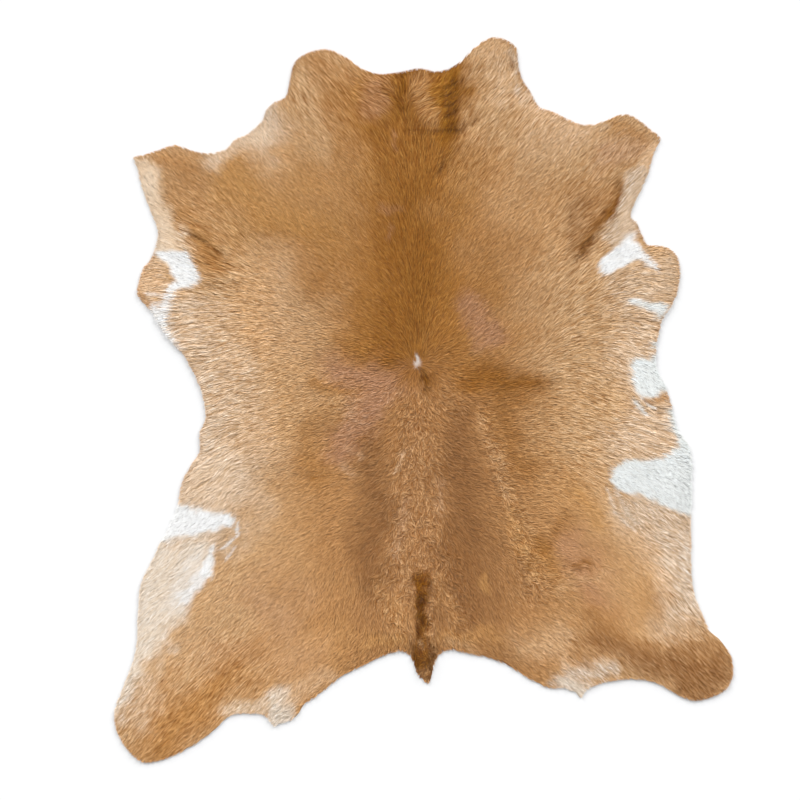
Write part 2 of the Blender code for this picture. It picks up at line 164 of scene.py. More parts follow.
# Soft patches of colour, laid over each other in this order. Each runs from one round end to the other.
# soft_px is the width of its border and strength how much it covers.
Patch = namedtuple("Patch", "name tone strength soft_px x1_px y1_px r1_px x2_px y2_px r2_px")
PATCHES = [Patch(*row) for row in (
    # the broad colours of back, shoulders, flanks and legs
    ("body", "tan", 0.95, 115, 412, 110, 92, 424, 650, 150),
    ("back", "ochre", 0.9, 80, 408, 100, 52, 416, 395, 66),
    ("rump", "clay", 0.85, 80, 418, 430, 76, 436, 620, 92),
    ("front of the back", "brown", 0.58, 56, 416, 90, 32, 410, 190, 32),
    ("middle of the back", "brown", 0.8, 56, 408, 225, 28, 404, 335, 34),
    ("left of the back", "ochre", 0.6, 40, 362, 110, 14, 356, 330, 18),
    ("right of the back", "ochre", 0.6, 40, 450, 232, 14, 452, 310, 18),
    ("right of the neck", "gold", 0.45, 36, 458, 182, 14, 462, 212, 12),
    ("behind the right shoulder", "ochre", 0.5, 36, 462, 280, 12, 508, 338, 12),
    ("left shoulder", "tan", 0.75, 60, 190, 178, 22, 320, 225, 50),
    ("left shoulder gold", "gold", 0.8, 50, 238, 186, 22, 316, 222, 28),
    ("left of the neck", "gold", 0.45, 40, 300, 120, 12, 350, 170, 16),
    ("left shoulder middle", "ochre", 0.38, 50, 268, 212, 10, 345, 250, 36),
    ("left shoulder low", "gold", 0.3, 30, 310, 232, 14, 324, 244, 14),
    ("left shoulder warmth", "gold", 0.4, 56, 236, 200, 38, 288, 196, 34),
    ("right shoulder", "tan", 0.6, 60, 600, 180, 22, 500, 225, 50),
    ("right shoulder middle", "light", 0.45, 50, 515, 190, 16, 550, 245, 16),
    ("right shoulder honey", "honey", 0.35, 50, 505, 200, 18, 555, 235, 16),
    ("left flank", "beige", 0.6, 60, 266, 290, 26, 262, 460, 24),
    ("left flank inner", "light", 0.4, 44, 305, 300, 12, 318, 430, 12),
    ("left shoulder honey", "honey", 0.5, 40, 262, 152, 14, 290, 150, 12),
    ("left belly", "pale", 0.9, 56, 190, 318, 26, 208, 500, 46),
    ("left flank honey", "honey", 0.5, 44, 250, 280, 22, 262, 336, 20),
    ("left belly glow", "beige", 0.7, 40, 224, 312, 16, 228, 400, 15),
    ("left belly hem", "light", 0.38, 24, 184, 322, 12, 196, 360, 12),
    ("left flank gold", "gold", 0.4, 40, 276, 372, 16, 276, 428, 18),
    ("right flank", "light", 0.7, 60, 600, 280, 26, 600, 440, 30),
    ("right belly", "pale", 0.62, 50, 646, 296, 22, 648, 430, 28),
    ("right belly hem", "sand", 0.6, 22, 676, 262, 10, 672, 430, 12),
    ("left hind leg", "tan", 0.95, 52, 290, 615, 22, 165, 735, 36),
    ("left rump calm", "dusty", 0.65, 50, 272, 600, 22, 296, 655, 24),
    ("left rump", "gold", 0.35, 40, 262, 650, 14, 330, 640, 22),
    ("left rump shade", "clay", 0.35, 40, 318, 545, 14, 322, 606, 14),
    ("right rump", "tan", 0.6, 60, 556, 470, 26, 590, 600, 36),
    ("right rump rosy", "rosy", 0.55, 30, 566, 540, 16, 596, 600, 16),
    ("right rump gold", "gold", 0.6, 26, 572, 486, 8, 604, 516, 12),
    ("right rump gold low", "gold", 0.5, 26, 632, 560, 8, 642, 604, 10),
    ("right hind leg", "ochre", 0.45, 50, 590, 632, 18, 694, 664, 32),
    ("right rump edge", "light", 0.7, 30, 520, 650, 8, 552, 644, 14),
    ("right rump hem", "beige", 0.35, 24, 530, 652, 8, 556, 646, 12),
    ("right hind core", "umber", 0.85, 40, 590, 642, 14, 700, 672, 24),
    ("left hind core", "ochre", 0.5, 30, 240, 662, 8, 160, 742, 14),
    ("left hind middle", "clay", 0.35, 40, 215, 640, 14, 245, 650, 14),
    ("left hind leg calm", "dusty", 0.28, 40, 200, 652, 20, 320, 648, 18),
    # neck
    ("left lobe", "tan", 0.7, 30, 330, 70, 16, 345, 150, 24),
    ("left lobe glow", "light", 0.75, 24, 316, 92, 11, 320, 150, 14),
    ("left lobe rim", "light", 0.75, 22, 302, 80, 10, 306, 140, 10),
    ("right lobe", "light", 0.85, 26, 494, 60, 20, 494, 138, 16),
    ("right lobe glow", "beige", 0.6, 26, 498, 56, 12, 500, 94, 8),
    ("left shoulder rim", "pale", 0.95, 44, 264, 124, 18, 224, 154, 15),
    ("left shoulder pale", "wheat", 0.85, 22, 256, 132, 12, 222, 156, 13),
    ("left shoulder hem", "cream", 0.85, 14, 266, 108, 5, 242, 128, 4),
    ("right shoulder hem", "cream", 0.55, 12, 530, 96, 3, 596, 122, 3),
    ("right shoulder glow", "light", 1.0, 50, 538, 145, 30, 600, 152, 14),
    ("right shoulder gleam", "beige", 0.5, 36, 536, 138, 20, 554, 142, 10),
    ("right shoulder rim", "beige", 0.9, 26, 524, 98, 10, 574, 128, 12),
    ("right neck band", "brown", 0.95, 24, 460, 76, 15, 452, 130, 12),
    ("right neck band foot", "brown", 0.65, 16, 450, 130, 9, 444, 176, 4),
    ("right neck band warmth", "amber", 0.45, 24, 452, 84, 13, 448, 128, 11),
    ("right neck band core", "dark", 0.5, 14, 459, 84, 9, 456, 126, 9),
    ("left neck glow", "rosy", 0.45, 18, 377, 82, 9, 376, 110, 12),
    ("right neck glow", "tan", 0.75, 14, 422, 84, 9, 428, 114, 9),
    # painted shade along the furrow of the neck
    ("neck furrow", "brown", 0.9, 8, 400, 74, 7, 399, 114, 6),
    ("neck furrow core", "dark", 0.6, 6, 402, 76, 3, 402, 108, 2),
    # painted highlights on the hair below the neck and over the shoulders
    ("neck highlight", "rosy", 0.4, 6, 396, 132, 2, 397, 152, 1),
    ("shoulder highlight", "rosy", 0.4, 10, 384, 204, 3, 402, 208, 3),
    ("lower shoulder highlight", "rosy", 0.45, 6, 390, 226, 2, 390, 236, 2),
    # painted shadows in the folds of the neck
    ("neck fold first", "black", 0.9, 3, 443, 88, 1, 456, 85, 1),
    ("neck fold second", "black", 0.9, 3, 442, 97, 1, 452, 94, 1),
    ("neck fold third", "black", 0.9, 3, 446, 107, 1, 456, 104, 1),
    ("neck fold fourth", "black", 0.9, 3, 444, 118, 1, 458, 112, 1),
    ("right lobe hem", "cream", 0.55, 8, 512, 50, 2, 520, 96, 2),
    # painted shadows in the creases of the neck
    ("neck crease", "black", 0.8, 3, 430, 131, 1, 462, 129, 1),
    ("neck crease start", "dark", 0.45, 4, 404, 129, 1, 430, 131, 1),
    ("neck crease arm", "dark", 0.8, 3, 462, 130, 1, 478, 120, 1),
    ("small neck crease", "black", 0.8, 4, 438, 174, 1, 444, 163, 1),
    ("lobe mark", "dark", 0.6, 4, 509, 56, 1, 511, 67, 2),
    # forelegs and shoulder streaks
    ("left foreleg", "tan", 0.8, 20, 160, 162, 10, 190, 168, 12),
    ("left shoulder streak", "tan", 0.6, 26, 176, 190, 8, 214, 250, 18),
    ("left streak core", "ochre", 0.5, 20, 184, 214, 5, 216, 256, 12),
    # painted shade over the wrinkles of the left shoulder, and painted shadows in them
    ("left wrinkles", "brown", 0.3, 16, 205, 244, 6, 224, 268, 5),
    ("left wrinkle", "black", 0.8, 3, 188, 233, 1, 206, 241, 1),
    ("left second wrinkle", "dark", 0.8, 4, 215, 248, 1, 225, 254, 1),
    ("left third wrinkle", "dark", 0.45, 4, 211, 286, 1, 222, 290, 1),
    ("left fourth wrinkle", "dark", 0.4, 4, 229, 275, 1, 240, 284, 1),
    ("left foreleg rim top", "wheat", 0.8, 12, 138, 160, 4, 150, 176, 9),
    ("left foreleg rim", "wheat", 1.0, 12, 141, 174, 12, 158, 240, 27),
    ("left foreleg hem", "cream", 0.35, 14, 142, 184, 8, 152, 246, 18),
    ("left foreleg rim foot", "beige", 0.5, 14, 180, 240, 6, 192, 252, 5),
    ("right foreleg", "dusty", 0.8, 22, 604, 145, 12, 642, 146, 14),
    ("right foreleg core", "ochre", 0.65, 20, 610, 122, 6, 648, 136, 5),
    ("right foreleg glow", "rosy", 0.3, 26, 604, 158, 12, 622, 154, 8),
    ("right shoulder streak", "umber", 0.6, 44, 598, 200, 8, 586, 240, 10),
    ("right streak middle", "brown", 0.7, 28, 608, 196, 7, 592, 240, 7),
    ("right streak core", "dark", 0.75, 16, 622, 180, 2, 609, 210, 6),
    ("right streak foot", "dark", 0.75, 18, 609, 210, 6, 592, 246, 4),
    # painted shadows in the wrinkles of the right shoulder
    ("right wrinkle", "black", 0.7, 3, 594, 236, 1, 582, 246, 1),
    ("right second wrinkle", "black", 0.6, 3, 586, 252, 1, 578, 258, 1),
    ("right third wrinkle", "dark", 0.6, 4, 576, 268, 1, 566, 276, 1),
    ("right foreleg rim top", "beige", 0.95, 5, 656, 146, 4, 638, 180, 12),
    ("right foreleg rim", "sand", 1.0, 5, 638, 180, 12, 627, 212, 12),
    ("right foreleg rim foot", "sand", 0.95, 8, 625, 212, 9, 620, 236, 14),
    # white patches
    ("left armpit white", "white", 1.0, 4, 157, 253, 3, 180, 262, 10),
    ("left armpit white foot", "white", 1.0, 4, 181, 264, 12, 187, 276, 12),
    ("left armpit white inner", "white", 1.0, 4, 182, 283, 5, 172, 287, 4),
    ("left flap white rim", "white", 0.95, 5, 169, 288, 4, 163, 320, 5),
    ("left flap white edge", "white", 0.9, 6, 152, 312, 8, 168, 346, 9),
    ("left flap", "beige", 0.97, 5, 144, 262, 14, 150, 280, 18),
    ("left flap foot", "beige", 0.95, 5, 138, 284, 16, 142, 296, 13),
    ("left flap wisp", "white", 0.6, 4, 146, 293, 1, 160, 295, 1),
    ("left flap second wisp", "white", 0.6, 4, 150, 302, 1, 162, 303, 1),
    ("left flap tuft", "brown", 0.65, 6, 139, 293, 2, 148, 306, 1),
    ("right armpit white", "white", 1.0, 4, 608, 266, 9, 631, 252, 12),
    ("right armpit white top", "white", 0.85, 7, 629, 242, 5, 634, 236, 3),
    ("right armpit white arm", "white", 0.9, 4, 640, 255, 6, 657, 271, 2),
    ("right streak white", "milk", 0.95, 5, 633, 302, 3, 660, 310, 5),
    ("right streak white edge", "milk", 0.95, 4, 665, 310, 4, 659, 321, 3),
    ("right edge sliver", "milk", 0.95, 3, 655, 344, 3, 654, 347, 3),
    ("right white", "milk", 1.0, 4, 643, 369, 11, 648, 384, 14),
    ("right white edge", "milk", 1.0, 4, 656, 360, 6, 666, 384, 8),
    ("right white wisps", "milk", 0.8, 4, 636, 402, 2, 644, 412, 2),
    ("right white wisp", "milk", 0.8, 3, 640, 397, 1, 654, 408, 1),
    ("right white rim", "milk", 1.0, 4, 671, 410, 3, 684, 442, 7),
    ("right white hem", "milk", 1.0, 4, 690, 450, 8, 700, 500, 14),
    ("right pale thigh", "sand", 1.0, 40, 654, 514, 26, 688, 596, 34),
    ("right thigh glow", "beige", 0.6, 30, 628, 530, 12, 652, 590, 10),
    ("large right white", "milk", 1.0, 5, 629, 476, 17, 672, 477, 22),
    ("large right white foot", "milk", 1.0, 5, 652, 483, 15, 696, 501, 18),
    ("large right white inner", "sand", 0.8, 8, 634, 500, 5, 654, 503, 4),
    ("large right white top", "milk", 1.0, 5, 668, 460, 6, 684, 452, 8),
    ("right white tuft", "umber", 0.7, 3, 645, 401, 2, 652, 403, 2),
    ("right white tuft edge", "tan", 0.8, 4, 656, 399, 3, 668, 395, 2),
    ("right pale curl", "cream", 0.8, 4, 609, 490, 1, 617, 510, 1),
    ("right inner curl", "cream", 0.7, 4, 617, 492, 2, 627, 510, 1),
    ("right inner curl foot", "cream", 0.6, 4, 627, 510, 1, 640, 524, 1),
    ("right pale curl foot", "cream", 0.7, 4, 617, 510, 1, 634, 530, 1),
    ("right thigh hem", "cream", 0.6, 20, 692, 530, 8, 700, 600, 8),
    ("right thigh shade", "clay", 0.4, 26, 648, 596, 8, 656, 612, 8),
    ("left pale thigh", "cream", 0.95, 20, 182, 552, 28, 144, 640, 24),
    ("left thigh hem", "cream", 1.0, 14, 142, 548, 26, 112, 652, 34),
    ("left thigh border", "light", 0.75, 14, 236, 538, 5, 196, 606, 8),
    ("left thigh sand", "pale", 0.75, 12, 172, 542, 5, 206, 540, 4),
    ("left thigh glow", "white", 0.32, 26, 190, 568, 8, 176, 602, 8),
    ("left thigh white", "white", 0.9, 4, 213, 547, 2, 207, 572, 6),
    ("left thigh white foot", "white", 0.8, 9, 205, 574, 6, 187, 597, 6),
    ("left lower white", "white", 1.0, 5, 176, 519, 17, 202, 520, 11),
    ("left lower white arm", "white", 1.0, 6, 202, 521, 10, 228, 520, 7),
    ("left lower white edge", "white", 0.9, 8, 164, 530, 10, 190, 533, 5),
    ("left lower white notch", "pale", 0.6, 5, 192, 504, 1, 197, 512, 1),
    ("left lower wisp", "white", 0.9, 2, 238, 523, 1, 237, 536, 1),
    ("left lower wisp foot", "white", 0.8, 2, 237, 536, 1, 222, 548, 1),
    ("left lower second wisp", "white", 0.6, 2, 235, 546, 1, 225, 560, 1),
    # painted shadow in a crease of the left flank
    ("left flank crease", "dark", 0.7, 3, 304, 474, 0, 314, 478, 1),
    ("left flank crease end", "dark", 0.6, 3, 314, 478, 1, 326, 474, 0),
    ("left hind leg pale", "sand", 0.55, 26, 152, 676, 12, 140, 716, 8),
    ("left hind leg glow", "beige", 0.45, 16, 152, 690, 8, 147, 708, 6),
    ("left hind hem", "cream", 0.9, 20, 130, 664, 16, 112, 708, 12),
    ("left thigh point", "cream", 1.0, 16, 280, 703, 15, 277, 724, 14),
    ("left thigh point rim", "wheat", 0.85, 12, 228, 715, 5, 264, 706, 7),
    ("left thigh point arm", "beige", 0.7, 20, 286, 704, 8, 330, 674, 6),
    ("right thigh point", "cream", 1.0, 14, 560, 680, 8, 590, 694, 10),
    ("right thigh point rim", "cream", 0.75, 14, 566, 668, 6, 612, 672, 6),
    # back, whorl and rump
    ("rosy shoulder spot", "rosy", 0.75, 22, 468, 302, 10, 492, 336, 14),
    ("dark flank right", "brown", 0.9, 32, 472, 372, 14, 530, 384, 17),
    ("dark flank right low", "brown", 0.55, 30, 508, 408, 12, 518, 470, 12),
    ("dark flank left", "ochre", 0.7, 20, 316, 388, 8, 362, 397, 6),
    ("dark flank left low", "ochre", 0.45, 30, 312, 430, 12, 318, 480, 14),
    ("rosy left of whorl", "rosy", 0.85, 36, 336, 368, 18, 388, 378, 18),
    ("rosy left low", "rosy", 0.85, 26, 370, 408, 20, 345, 452, 12),
    ("left frizz glow", "dusty", 0.45, 18, 342, 404, 8, 352, 416, 8),
    ("dark left of spine", "umber", 0.9, 36, 376, 440, 12, 371, 576, 21),
    ("left frizz spot", "dusty", 0.8, 7, 344, 464, 3, 350, 474, 3),
    ("left second frizz spot", "dusty", 0.9, 5, 361, 450, 2, 363, 460, 2),
    ("left third frizz spot", "dusty", 0.6, 6, 347, 446, 2, 350, 452, 2),
    ("left of the tail glow", "clay", 0.55, 26, 352, 616, 10, 392, 636, 10),
    ("dark right of spine", "umber", 0.95, 36, 464, 414, 12, 466, 600, 28),
    ("right of the rump", "umber", 0.6, 36, 500, 560, 12, 500, 640, 14),
    ("right of the rump top", "umber", 0.35, 30, 496, 488, 10, 500, 536, 12),
    ("right rump spot", "gold", 0.5, 8, 484, 578, 4, 487, 588, 4),
    ("right frizz", "light", 0.35, 12, 482, 418, 4, 505, 495, 4),
    ("right frizz low", "gold", 0.35, 12, 512, 510, 5, 530, 575, 6),
    ("right rump brown", "ochre", 0.6, 26, 536, 546, 8, 548, 572, 8),
    ("dark spot", "brown", 0.6, 20, 562, 512, 4, 544, 548, 8),
    ("small dark spot", "brown", 0.6, 10, 572, 562, 4, 588, 564, 4),
    # painted shadows in wrinkles of the right rump
    ("right rump wrinkle", "dark", 0.6, 3, 576, 561, 0, 592, 564, 1),
    ("right rump second wrinkle", "dark", 0.55, 3, 580, 568, 0, 592, 569, 1),
    ("light line", "light", 0.45, 10, 556, 590, 4, 604, 574, 5),
    ("spine band", "clay", 0.9, 20, 416, 425, 8, 414, 570, 16),
    ("spine stroke", "beige", 0.65, 4, 405, 451, 1, 397, 471, 2),
    ("spine curls left", "dusty", 0.45, 8, 404, 500, 3, 398, 556, 4),
    ("spine curls right", "dusty", 0.4, 8, 441, 480, 3, 437, 512, 4),
    ("left tail curls", "tan", 0.6, 16, 378, 580, 4, 404, 620, 7),
    ("right tail curls", "tan", 0.6, 16, 441, 578, 4, 456, 612, 7),
    ("right spine shade", "dark", 0.14, 20, 452, 535, 8, 458, 568, 8),
    ("left rump glow", "gold", 0.55, 18, 372, 640, 8, 400, 640, 8),
    ("right rump glow", "gold", 0.45, 18, 448, 632, 7, 500, 640, 8),
    ("right tail glow", "light", 0.55, 12, 449, 641, 4, 472, 652, 5),
    ("whorl ring", "ochre", 0.6, 14, 414, 350, 8, 424, 344, 8),
    ("whorl foot", "brown", 0.65, 20, 408, 374, 8, 424, 380, 9),
    ("whorl shade", "black", 0.75, 7, 420, 368, 1, 425, 382, 3),
    ("whorl shade foot", "dark", 0.7, 8, 425, 382, 3, 423, 394, 2),
    ("whorl shade arm", "dark", 0.6, 8, 430, 376, 2, 440, 372, 1),
    ("tail root", "dark", 0.95, 9, 424, 577, 9, 421, 602, 5),
    ("tail", "dark", 0.88, 7, 421, 604, 5, 424, 660, 9),
    ("tail edge left", "black", 0.5, 7, 414, 642, 3, 419, 676, 4),
    ("tail edge right", "black", 0.5, 7, 434, 642, 3, 432, 676, 4),
    ("tail end", "brown", 0.2, 8, 423, 650, 5, 426, 672, 4),
    ("tail middle", "light", 0.6, 4, 421, 640, 2, 424, 648, 2),
    ("tail swirl", "black", 0.5, 5, 431, 580, 2, 429, 592, 2),
    ("tail swirl foot", "black", 0.5, 5, 429, 592, 2, 421, 602, 2),
    ("tail spine", "black", 0.75, 6, 421, 594, 3, 420, 634, 3),
    ("whorl tuft", "white", 0.9, 3, 417, 355, 1, 417, 367, 1),
)]

# Smooth random values: the size over which they change, in metres, and their seed
Random = namedtuple("Random", "size seed")
MOTTLE_SIDE = 512
# The patches' borders wander by this share of their softness, in waves of three sizes
WANDER = 0.36
WANDER_SIZES = (0.110, 0.036, 0.013)
WANDER_SEEDS = (11, 21)
WANDER_MOST_PX = (50, 16, 8)
# The coat's shade changes by these shares
WIDE_SHADE = 0.03
WIDE_CLOUD = Random(0.070, 15)
NEAR_SHADE = 0.025
NEAR_CLOUD = Random(0.024, 16)
# The hair's own lines turn aside in these waves
WAVE = Random(0.065, 31)
RIPPLE = Random(0.020, 32)
CURL = Random(0.014, 33)
SMALL_CURL = Random(0.007, 34)
FELT = Random(0.007, 35)
# Strands that lie side by side
FINE = Random(FINE_STRAND, 41)
COARSE = Random(COARSE_STRAND, 42)

# Where the hair is long and lies in tufts (shag), is short and curls (frizz), has strands that stand out from
# each other (crisp), lies smooth (calm) or stays short beside a crease or a stroke (trim), from 0 to 1
Zone = namedtuple("Zone", "name value soft_px x1_px y1_px r1_px x2_px y2_px r2_px")
ZONES = {
    "shag": (
        Zone("left belly", 1.0, 56, 178, 300, 18, 212, 470, 26),
        Zone("right belly", 1.0, 60, 648, 270, 16, 650, 430, 26),
        Zone("left shoulder", 0.55, 40, 190, 215, 6, 235, 280, 16),
        Zone("right shoulder", 0.55, 40, 610, 200, 6, 575, 270, 16),
        Zone("left thigh", 0.4, 30, 165, 560, 20, 150, 640, 20),
        Zone("right thigh", 0.4, 30, 660, 530, 20, 675, 600, 20),
    ),
    "frizz": (
        Zone("tail", 1.0, 8, 424, 580, 8, 426, 675, 10),
        Zone("neck front", 0.25, 20, 375, 90, 10, 440, 110, 10),
        Zone("below the whorl", 0.5, 24, 390, 395, 10, 450, 400, 14),
        Zone("spine", 1.0, 30, 418, 410, 16, 416, 575, 30),
        Zone("left of the spine", 0.35, 26, 350, 400, 20, 372, 430, 14),
        Zone("left of tail", 0.8, 20, 374, 580, 8, 400, 630, 10),
        Zone("right of tail", 0.8, 20, 446, 560, 10, 460, 625, 12),
        Zone("right flank line", 0.9, 14, 480, 410, 6, 505, 500, 8),
        Zone("right rump line", 0.9, 16, 512, 510, 8, 535, 590, 12),
        Zone("right rump spots", 0.5, 18, 555, 580, 8, 600, 570, 8),
    ),
    "calm": (
        Zone("left foreleg rim", 0.9, 12, 150, 176, 10, 170, 250, 16),
        Zone("right foreleg rim", 1.0, 8, 655, 149, 4, 622, 236, 14),
        Zone("left flap", 0.4, 12, 144, 266, 14, 148, 290, 16),
        Zone("left armpit", 1.0, 8, 175, 262, 12, 184, 278, 12),
        Zone("right armpit", 1.0, 8, 608, 266, 10, 632, 250, 14),
        Zone("right white", 1.0, 8, 643, 368, 12, 648, 386, 14),
        Zone("large right white", 1.0, 10, 628, 478, 18, 684, 486, 26),
        Zone("left lower white", 1.0, 8, 172, 520, 18, 228, 521, 9),
        Zone("left pale thigh", 0.65, 20, 190, 566, 26, 140, 650, 26),
        Zone("left rump", 0.65, 60, 290, 530, 40, 300, 640, 40),
        Zone("right rump", 0.75, 60, 575, 510, 30, 620, 610, 34),
        Zone("right of the spine", 0.40, 40, 470, 480, 20, 480, 620, 24),
        Zone("left of the dark band", 0.45, 40, 352, 500, 20, 350, 612, 24),
        Zone("whorl tuft", 1.0, 8, 417, 352, 4, 418, 364, 4),
    ),
    "crisp": (
        Zone("left pale thigh strokes", 1.0, 30, 186, 566, 24, 142, 650, 26),
        Zone("right pale thigh strokes", 0.8, 30, 660, 524, 20, 680, 600, 24),
        Zone("neck", 1.1, 50, 330, 100, 40, 510, 110, 40),
        Zone("neck middle", 0.9, 50, 390, 130, 40, 480, 150, 40),
        Zone("back", 0.5, 60, 405, 200, 30, 412, 340, 20),
        Zone("left flank", 1.0, 80, 200, 250, 50, 232, 400, 52),
        Zone("right flank", 1.0, 90, 600, 200, 50, 600, 440, 60),
        Zone("left hind leg", 1.0, 60, 250, 662, 32, 158, 722, 40),
        Zone("right hind leg", 1.0, 60, 596, 648, 26, 692, 664, 34),
    ),
    "trim": (
        Zone("neck crease", 1.0, 6, 410, 130, 2, 462, 130, 2),
        Zone("neck crease arm", 1.0, 6, 462, 130, 2, 478, 120, 2),
        Zone("small neck crease", 1.0, 6, 438, 174, 2, 444, 163, 2),
        Zone("neck folds", 1.0, 8, 450, 88, 4, 450, 116, 4),
        Zone("lobe mark", 1.0, 6, 509, 56, 2, 511, 67, 2),
        Zone("left wrinkle", 1.0, 6, 188, 233, 2, 225, 254, 2),
        Zone("left low wrinkle", 1.0, 6, 211, 286, 2, 240, 284, 2),
        Zone("right wrinkles", 1.0, 6, 594, 236, 2, 578, 258, 3),
        Zone("left flank crease", 1.0, 6, 304, 475, 2, 326, 475, 2),
        Zone("left thigh wisps", 1.0, 8, 238, 523, 3, 224, 556, 4),
        Zone("right thigh curls", 1.0, 10, 612, 492, 6, 636, 526, 4),
        Zone("right wisps", 1.0, 8, 636, 402, 4, 652, 408, 4),
    ),
}

# How the hair lies. Ahead of the turn it points up and outwards, and behind it down and outwards.
SPINE_PX = 418.0
WHORL_X_PX = 417.0
WHORL_Y_PX = 364.0
# How far it leans from straight outwards, in degrees towards the neck, by the distance behind the turn
Lean = namedtuple("Lean", "behind_px degrees")
LEANS = (
    Lean(-170, 46),
    Lean(-110, 42),
    Lean(-55, 28),
    Lean(0, 4),
    Lean(30, -11),
    Lean(100, -17),
    Lean(180, -29),
    Lean(270, -40),
    Lean(340, -45),
)
SPINE_SOFT_PX = 30.0  # beside the spine it lies along it
WHORL_SOFT_PX = 22.0
WHORL_REACH_PX = 26.0  # round the whorl it points away from it
WHORL_PULL = 2.0
# Where the turn lies: distance from the spine, then the photograph's row on either side
Turn = namedtuple("Turn", "away_px left_y_px right_y_px")
TURNS = (
    Turn(0, 358, 358),
    Turn(50, 362, 385),
    Turn(100, 350, 428),
    Turn(130, 338, 415),
    Turn(170, 318, 350),
    Turn(210, 300, 312),
    Turn(250, 294, 295),
    Turn(320, 290, 290),
)
# Places where it lies another way: heading in degrees, 0 to the right and 90 towards the neck
GUIDE_PULL = 3.0
Guide = namedtuple("Guide", "name x_px y_px reach_px heading")
GUIDES = (
    Guide("left of the neck edge", 378, 95, 18, 166),
    Guide("right of the neck edge", 426, 100, 16, 10),
    Guide("neck furrow", 401, 92, 7, 90),
    Guide("whorl tuft", 417, 357, 7, 92),
    Guide("left flap", 150, 275, 16, 200),
    Guide("left flap foot", 146, 296, 12, 165),
    Guide("left armpit", 178, 268, 12, 160),
    Guide("right armpit", 628, 255, 14, 25),
    Guide("right flap", 664, 272, 18, 345),
    Guide("right white", 640, 378, 16, 318),
    Guide("left of the tail", 392, 625, 18, 292),
    Guide("right of the tail", 452, 628, 16, 300),
    Guide("left rump inner", 350, 600, 34, 262),
    Guide("right rump inner", 486, 590, 30, 288),
    Guide("right rump middle", 570, 572, 18, 2),
    Guide("left neck root", 290, 100, 14, 115),
    Guide("right lobe", 512, 62, 14, 75),
)


def column_of(x):
    """The photograph's column for metres to the right of the origin."""
    return x / PIXEL + ORIGIN_X_PX


def row_of(y):
    """The photograph's row for metres towards the neck."""
    return ORIGIN_Y_PX - y / PIXEL


def smooth_step(part):
    """0 below 0, 1 above 1 and a soft rise between them, for an array."""
    part = np.clip(part, 0.0, 1.0)
    return part * part * (3.0 - 2.0 * part)


def linear(tone):
    """Linear colour of an sRGB tone."""
    steps = np.array(TONES[tone]) / 255.0
    return np.where(steps <= 0.04045, steps / 12.92, ((steps + 0.055) / 1.055) ** 2.4)


def mottle(x, y, size, seed):
    """Smooth random values from -1 to 1 that change over about the given size."""
    table = np.random.default_rng(seed).uniform(-1.0, 1.0, (MOTTLE_SIDE, MOTTLE_SIDE))
    last = MOTTLE_SIDE - 1
    column = np.floor(x / size).astype(int)
    row = np.floor(y / size).astype(int)
    right = smooth_step(x / size - column)
    up = smooth_step(y / size - row)
    low, high = (
        table[column & last, line & last] * (1 - right) + table[(column + 1) & last, line & last] * right
        for line in (row, row + 1)
    )
    return low * (1 - up) + high * up


def cover(area, column, row):
    """How much a patch or zone covers each place: 1 inside it, 0 outside its soft border."""
    along_x = area.x2_px - area.x1_px
    along_y = area.y2_px - area.y1_px
    part = (column - area.x1_px) * along_x + (row - area.y1_px) * along_y
    part = np.clip(part / (along_x**2 + along_y**2), 0.0, 1.0)
    away = np.hypot(column - area.x1_px - part * along_x, row - area.y1_px - part * along_y)
    radius = area.r1_px + (area.r2_px - area.r1_px) * part
    return 1.0 - smooth_step((away - radius) / area.soft_px + 0.5)


def coat_colour(x, y):
    """Linear colour of the coat at each place, with feathered borders between its patches."""
    column, row = column_of(x), row_of(y)
    across, along = ([mottle(x, y, size, seed) * WANDER for size in WANDER_SIZES] for seed in WANDER_SEEDS)
    colour = np.tile(linear("light"), (len(x), 1))
    for patch in PATCHES:
        reach = np.minimum(WANDER_MOST_PX, patch.soft_px)
        share = cover(patch, column + np.dot(reach, across), row + np.dot(reach, along))
        share = (patch.strength * share)[:, None]
        colour = colour * (1 - share) + linear(patch.tone) * share
    shade = 1.0 + WIDE_SHADE * mottle(x, y, *WIDE_CLOUD) + NEAR_SHADE * mottle(x, y, *NEAR_CLOUD)
    return colour * shade[:, None]


def hair_heading(x, y):
    """The direction in which the hair points at each place, in radians."""
    column, row = column_of(x), row_of(y)
    side = np.where(column < SPINE_PX, -1.0, 1.0)
    away = np.abs(column - SPINE_PX)
    knots, left_rows, right_rows = zip(*TURNS)
    behind = row - np.where(side < 0, np.interp(away, knots, left_rows), np.interp(away, knots, right_rows))
    along = np.exp(-away / SPINE_SOFT_PX)
    slant = np.radians(np.interp(behind, *zip(*LEANS)))
    east = side * (np.cos(slant) * (1 - along))
    north = np.sin(slant) * (1 - along) + np.tanh((WHORL_Y_PX - row) / WHORL_SOFT_PX) * along
    from_whorl_x = column - WHORL_X_PX
    from_whorl_y = WHORL_Y_PX - row
    distance = np.hypot(from_whorl_x, from_whorl_y) + TINY_PX
    near = WHORL_PULL * np.exp(-((distance / WHORL_REACH_PX) ** 2))
    east = east + near * from_whorl_x / distance
    north = north + near * from_whorl_y / distance
    for guide in GUIDES:
        squared = (column - guide.x_px) ** 2 + (row - guide.y_px) ** 2
        pull = GUIDE_PULL * np.exp(-(squared / guide.reach_px**2))
        east = east + pull * np.cos(np.radians(guide.heading))
        north = north + pull * np.sin(np.radians(guide.heading))
    return np.arctan2(north, east)


def welded(mesh):
    """A mesh to edit whose faces share their points."""
    shape = bmesh.new()
    shape.from_mesh(mesh)
    bmesh.ops.remove_doubles(shape, verts=shape.verts, dist=WELD)
    return shape


def add_piece(name, data):
    """A new object in the scene."""
    piece = bpy.data.objects.new(name, data)
    bpy.context.scene.collection.objects.link(piece)
    return piece


